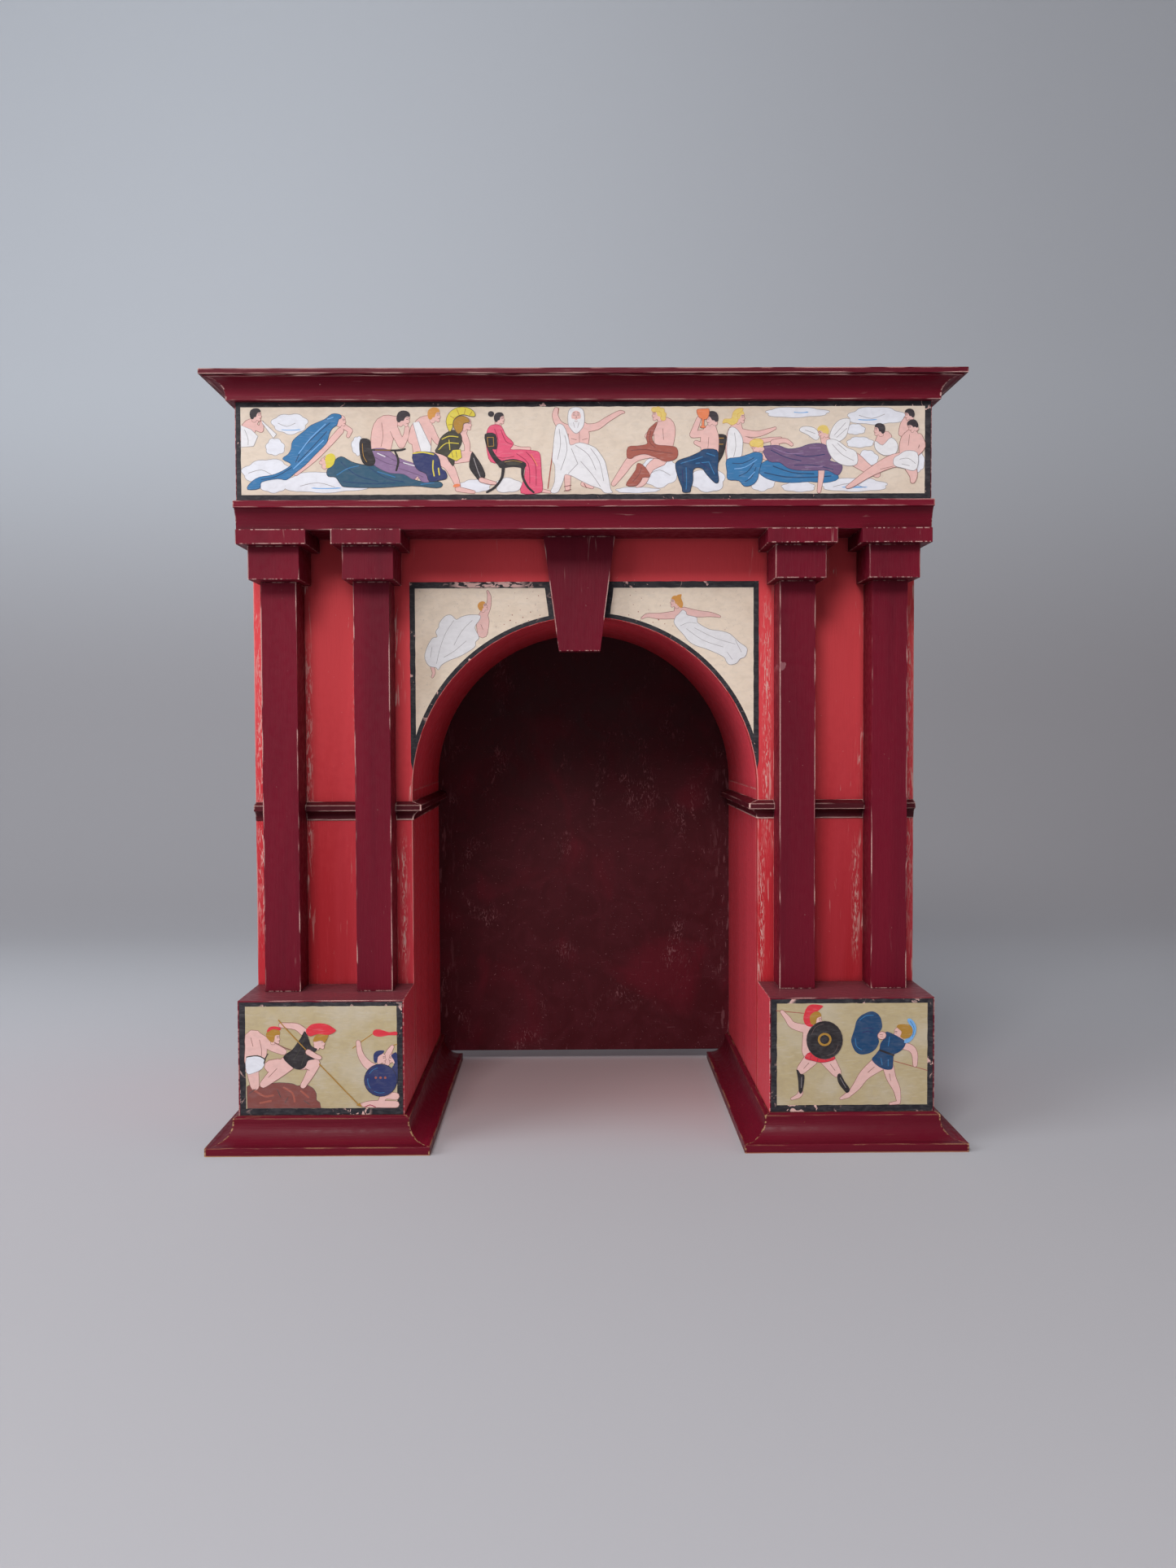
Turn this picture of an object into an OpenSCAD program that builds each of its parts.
// Miniature fireplace mantel: a painted wooden triumphal-arch front with a deep
// barrel-vaulted niche. Board box, four pilasters on two pedestals, mitred
// mouldings, a thin shelf on top. Millimetres, +Z up, the front faces -Y.
// Origin: centre of the bottom of the bounding box, on the floor.

/* [Body] */
// Width between the outer side faces of the plain body
body_w = 324; // [320:1:332]
// Height from the floor to the underside of the shelf
body_h = 356.5; // [354:0.5:362]
// Thickness of the boards of the body
board_t = 6; // [4:0.5:7]

/* [Niche] */
// Clear width of the arched opening
opening_w = 170; // [164:1:172]
// Height of the arch's centre, where the straight sides end
spring_h = 164.5; // [162:0.5:166]
// Depth from the wall's front face to the back panel
niche_d = 133.5; // [100:0.5:150]
// Thickness of the bent sheet that lines the arch
soffit_t = 3; // [1.5:0.5:5]
// Gap under the back panel
back_gap = 5.5; // [3:0.5:8]

/* [Shelf and crown] */
// Thickness of the shelf
shelf_t = 2.5; // [2:0.5:4]
// How far the shelf stands out past the body's sides and the frieze
shelf_over = 13.5; // [12.5:0.5:16]
// Height of the crown moulding
crown_h = 9.8; // [9.4:0.2:10.4]

/* [Frieze] */
// Height of the frieze beam's underside above the floor
beam_z = 287.6; // [284:0.2:290]
// How far the frieze stands out from the wall
beam_d = 33; // [28:0.5:36]
// Height of the cornice moulding under the painted frieze
cornice_h = 12.8; // [12:0.2:14]
// How far that cornice stands out from the frieze
cornice_p = 7; // [6:0.5:8]

/* [Pilasters] */
// Width of a pilaster
pilaster_w = 17; // [14:0.5:19]
// How far a pilaster stands out from the wall
pilaster_d = 20.5; // [16:0.5:24]
// Distance of the outer pilasters' axes from the centre line
outer_x = 145.5; // [144:0.1:146]
// Distance of the inner pilasters' axes from the centre line
inner_x = 101.5; // [101:0.1:104]
// Width of a capital block
capital_w = 24; // [21:0.5:26]
// Height of a capital block
capital_h = 15.8; // [12:0.2:20]
// Depth of a capital block
capital_d = 31; // [28:0.5:32]
// Width of an abacus plate
abacus_w = 32.5; // [30:0.5:32.5]
// Thickness of an abacus plate
abacus_h = 6.8; // [5:0.2:8]
// Depth of an abacus plate
abacus_d = 37; // [36:0.5:38]

/* [Pedestals] */
// Height of a pedestal
pedestal_h = 69.2; // [60:0.2:80]
// How far a pedestal stands out from the wall
pedestal_d = 43.5; // [38:0.5:48]
// Height of the base moulding
base_h = 15.5; // [14.5:0.5:18]
// How far the base moulding stands out
base_p = 13; // [12.5:0.5:13.5]

/* [Keystone and impost] */
// Width of the keystone at its top
keystone_top_w = 34.5; // [30:0.5:38]
// Width of the keystone at its foot
keystone_foot_w = 20; // [14:0.5:24]
// Height of the keystone's foot above the floor
keystone_z = 232.3; // [228:0.1:238]
// How far the keystone stands out from the wall
keystone_d = 10; // [6:0.5:14]
// Distance that the keystone is set to the left of the centre line
keystone_off = 2.5; // [0:0.1:3]
// Height of the impost moulding's underside above the floor
impost_z = 150.2; // [140:0.1:154]

/* [Hidden] */
$fn = 96;
eps = 1;                // overlap of a plain cut past the part's surface
overcut = 0.1;          // the same for the base moulding's small bevel

// Profiles: p is the distance out from the face that the moulding is fixed to
crown_p = 12;
crown_foot = 3.6;       // thickness of the crown's lower edge
crown_foot_h = 2;       // height of that edge
crown_lip = 0.6;        // flat edge under the shelf
crown_nose = 1.2;       // how far that edge stands out past the cove
base_foot_h = 4;        // square bottom edge of the base moulding
base_top = 2.5;         // thickness of its top edge
base_cove_r = 8.5;
base_flat = 0.5;        // width of the flat on its top
base_bevel_h = 0.9;     // height of the bevel beside that flat
impost_h = 9.2;
impost_p = 4.8;
impost_root = 0.6;      // thickness of the impost moulding's lower edge
impost_edge_h = 0.4;    // height of that edge
impost_fillet = [4.8, 7.6];   // lower and upper edge of its square fillet
cornice_fillet_h = 3.3;
cornice_root = 1.2;     // thickness of the cornice's lower edge
cornice_edge_h = 0.5;   // height of that edge
cornice_cove_r = 13;

half_w = body_w / 2;
half_open = opening_w / 2;
front_d = pedestal_d + base_p;          // base moulding's front to the wall face
total_d = front_d + niche_d + board_t;
wall_y = front_d - total_d / 2;         // the wall's front face
back_y = wall_y + niche_d;              // the back panel's front face
rear_y = back_y + board_t;              // the rearmost plane
frieze_y = wall_y - beam_d;             // the frieze's front face
pedestal_y = wall_y - pedestal_d;       // the pedestals' front face

MAROON = "#6e2531";
RED = "#b8393f";
DEEP_RED = "#7d2730";
DARK = "#3a171b";
BLACK = "#33292f";

// ---- helpers ----

// The right-hand version for side = 1, its mirror image for side = -1
module on_side(side) {
    if (side > 0) children();
    else mirror([1, 0, 0]) children();
}

// A box from its lowest corner to its highest corner
module block(low, high) {
    translate(low) cube(high - low);
}

// A length of moulding along +X from the origin, standing out towards -Y.
// The children are its profile. A mitre of 1 is an outside corner, -1 an
// inside corner and 0 a square end.
module moulding(length, p, h, start_mitre, end_mitre) {
    intersection() {
        translate([-p, 0, 0]) mirror([0, 1, 0]) rotate([90, 0, 90])
            linear_extrude(length + 2 * p) children();
        linear_extrude(h) polygon([
            [0, 0], [length, 0],
            [length + end_mitre * p, -p], [-start_mitre * p, -p]
        ]);
    }
}

// ---- profiles, drawn with p to the right and height upwards ----

module crown_profile() {
    cove_x = crown_p - crown_nose;
    difference() {
        square([crown_p, crown_h]);
        translate([cove_x, crown_foot_h]) circle(cove_x - crown_foot);
        translate([crown_foot, -eps]) square([crown_p, crown_foot_h + eps]);
        translate([cove_x, -eps]) square([crown_p, crown_h - crown_lip + eps]);
    }
}

module cornice_profile() {
    difference() {
        square([cornice_p, cornice_h]);
        intersection() {
            translate([cornice_root + cornice_cove_r, cornice_edge_h])
                circle(cornice_cove_r);
            translate([0, -eps])
                square([cornice_p + eps, cornice_h - cornice_fillet_h + eps]);
        }
        translate([cornice_root, -eps]) square([cornice_p, eps + cornice_edge_h]);
    }
}

module base_profile() {
    cove = [base_top + base_cove_r, base_foot_h + base_cove_r];
    difference() {
        square([base_p, base_h]);
        translate(cove) circle(base_cove_r);
        translate([base_top, cove[1]]) square([base_p, base_h]);
        translate([cove[0], base_foot_h]) square([base_p, base_h]);
        polygon([
            [base_flat, base_h + overcut], [base_top + overcut, base_h - base_bevel_h],
            [base_p, base_h + overcut]
        ]);
    }
}

module impost_profile() {
    cove_r = impost_fillet[0] - impost_edge_h;
    difference() {
        polygon([
            [0, 0], [impost_p, 0], [impost_p, impost_fillet[1]], [0, impost_h]
        ]);
        translate([impost_root + cove_r, impost_edge_h]) circle(cove_r);
        translate([impost_root, -eps]) square([impost_p, eps + impost_edge_h]);
    }
}

// ---- board box ----

// The arched opening seen from the front, as a flat shape; grow widens it
module opening_outline(grow) {
    r = half_open + grow;
    translate([0, spring_h]) circle(r);
    translate([-r, -eps]) square([2 * r, spring_h + eps]);
}

module front_board() {
    color(RED)
    translate([0, wall_y + board_t, 0]) rotate([90, 0, 0]) linear_extrude(board_t)
        difference() {
            translate([-half_w, 0]) square([body_w, body_h]);
            opening_outline(0);
        }
}

module side_board(side) {
    color(RED) on_side(side)
        block([half_w - board_t, wall_y + board_t, 0], [half_w, back_y, body_h]);
}

module reveal_board(side) {
    color(DEEP_RED) on_side(side)
        block([half_open, wall_y + board_t, 0], [half_open + board_t, back_y, spring_h]);
}

// Half a tube of bent sheet, standing on the tops of the two reveal boards
module arch_soffit() {
    color(DEEP_RED)
    translate([0, back_y, spring_h]) rotate([90, 0, 0])
        linear_extrude(niche_d - board_t) difference() {
            circle(half_open + soffit_t);
            circle(half_open);
            translate([-opening_w, -opening_w]) square([2 * opening_w, opening_w]);
        }
}

module back_panel() {
    color(DARK) block([-half_w, back_y, back_gap], [half_w, rear_y, body_h]);
}

// ---- shelf, crown, frieze ----

module shelf() {
    color(MAROON)
        block([-half_w - shelf_over, frieze_y - shelf_over, body_h],
              [half_w + shelf_over, rear_y, body_h + shelf_t]);
}

module crown_front() {
    color(MAROON) translate([-half_w, frieze_y, body_h - crown_h])
        moulding(body_w, crown_p, crown_h, 1, 1) crown_profile();
}

module crown_side(side) {
    color(MAROON) on_side(side)
        translate([half_w, frieze_y, body_h - crown_h]) rotate([0, 0, 90])
            moulding(rear_y - frieze_y, crown_p, crown_h, 1, 0) crown_profile();
}

module frieze_beam() {
    color(BLACK) block([-half_w, frieze_y, beam_z], [half_w, wall_y, body_h]);
}

module cornice() {
    color(MAROON) translate([-half_w, frieze_y, beam_z])
        moulding(body_w, cornice_p, cornice_h, 0, 0) cornice_profile();
}

// ---- pilasters: abacus plate, capital block and shaft, on axis x ----

module abacus(x) {
    color(MAROON) block([x - abacus_w / 2, wall_y - abacus_d, beam_z - abacus_h],
                        [x + abacus_w / 2, wall_y, beam_z]);
}

module capital(x) {
    top = beam_z - abacus_h;
    color(MAROON) block([x - capital_w / 2, wall_y - capital_d, top - capital_h],
                        [x + capital_w / 2, wall_y, top]);
}

module pilaster(x) {
    color(MAROON) block([x - pilaster_w / 2, wall_y - pilaster_d, pedestal_h],
                        [x + pilaster_w / 2, wall_y, beam_z - abacus_h - capital_h]);
}

// ---- pedestals and their base mouldings ----

module pedestal(side) {
    color(MAROON) on_side(side)
        block([half_open, pedestal_y, 0], [half_w, wall_y, pedestal_h]);
}

module base_front(side) {
    color(MAROON) on_side(side) translate([half_open, pedestal_y, 0])
        moulding(half_w - half_open, base_p, base_h, 1, 1) base_profile();
}

module base_outer(side) {
    color(MAROON) on_side(side)
        translate([half_w, pedestal_y, 0]) rotate([0, 0, 90])
            moulding(rear_y - pedestal_y, base_p, base_h, 1, 0) base_profile();
}

module base_inner(side) {
    run = back_y - pedestal_y;
    color(MAROON) on_side(side)
        translate([half_open, back_y, 0]) rotate([0, 0, -90])
            moulding(run, base_p, base_h, 0, 1) base_profile();
}

// ---- keystone ----

module keystone() {
    top = beam_z;
    color(MAROON)
    translate([-keystone_off, wall_y, 0]) rotate([90, 0, 0]) linear_extrude(keystone_d)
        polygon([
            [-keystone_top_w / 2, top], [keystone_top_w / 2, top],
            [keystone_foot_w / 2, keystone_z], [-keystone_foot_w / 2, keystone_z]
        ]);
}

// ---- impost moulding, cut between the pilasters and returned into the niche ----

// A straight length on the wall's face from x = a to x = b of the right half
module impost_run(a, b, start_mitre) {
    translate([a, wall_y, impost_z])
        moulding(b - a, impost_p, impost_h, start_mitre, 0) impost_profile();
}

module impost_end(side) {
    color(MAROON) on_side(side) impost_run(outer_x + pilaster_w / 2, half_w, 0);
}

module impost_mid(side) {
    color(MAROON) on_side(side)
        impost_run(inner_x + pilaster_w / 2, outer_x - pilaster_w / 2, 0);
}

module impost_jamb(side) {
    color(MAROON) on_side(side) impost_run(half_open, inner_x - pilaster_w / 2, 1);
}

module impost_reveal(side) {
    color(MAROON) on_side(side)
        translate([half_open, back_y, impost_z]) rotate([0, 0, -90])
            moulding(niche_d, impost_p, impost_h, 0, 1) impost_profile();
}

// ---- nodes ----

front_board();
side_board(-1);  // left_side_board
side_board(1);  // right_side_board
reveal_board(-1);  // left_reveal_board
reveal_board(1);  // right_reveal_board
arch_soffit();
back_panel();
shelf();
frieze_beam();
crown_front();
crown_side(-1);  // crown_left
crown_side(1);  // crown_right
cornice();
abacus(-outer_x);  // abacus_outer_left
abacus(-inner_x);  // abacus_inner_left
abacus(inner_x);  // abacus_inner_right
abacus(outer_x);  // abacus_outer_right
capital(-outer_x);  // capital_outer_left
capital(-inner_x);  // capital_inner_left
capital(inner_x);  // capital_inner_right
capital(outer_x);  // capital_outer_right
pilaster(-outer_x);  // pilaster_outer_left
pilaster(-inner_x);  // pilaster_inner_left
pilaster(inner_x);  // pilaster_inner_right
pilaster(outer_x);  // pilaster_outer_right
pedestal(-1);  // pedestal_left
pedestal(1);  // pedestal_right
base_front(-1);  // base_front_left
base_outer(-1);  // base_outer_left
base_inner(-1);  // base_inner_left
base_front(1);  // base_front_right
base_outer(1);  // base_outer_right
base_inner(1);  // base_inner_right
keystone();
impost_end(-1);  // impost_end_left
impost_mid(-1);  // impost_mid_left
impost_jamb(-1);  // impost_jamb_left
impost_reveal(-1);  // impost_reveal_left
impost_end(1);  // impost_end_right
impost_mid(1);  // impost_mid_right
impost_jamb(1);  // impost_jamb_right
impost_reveal(1);  // impost_reveal_right
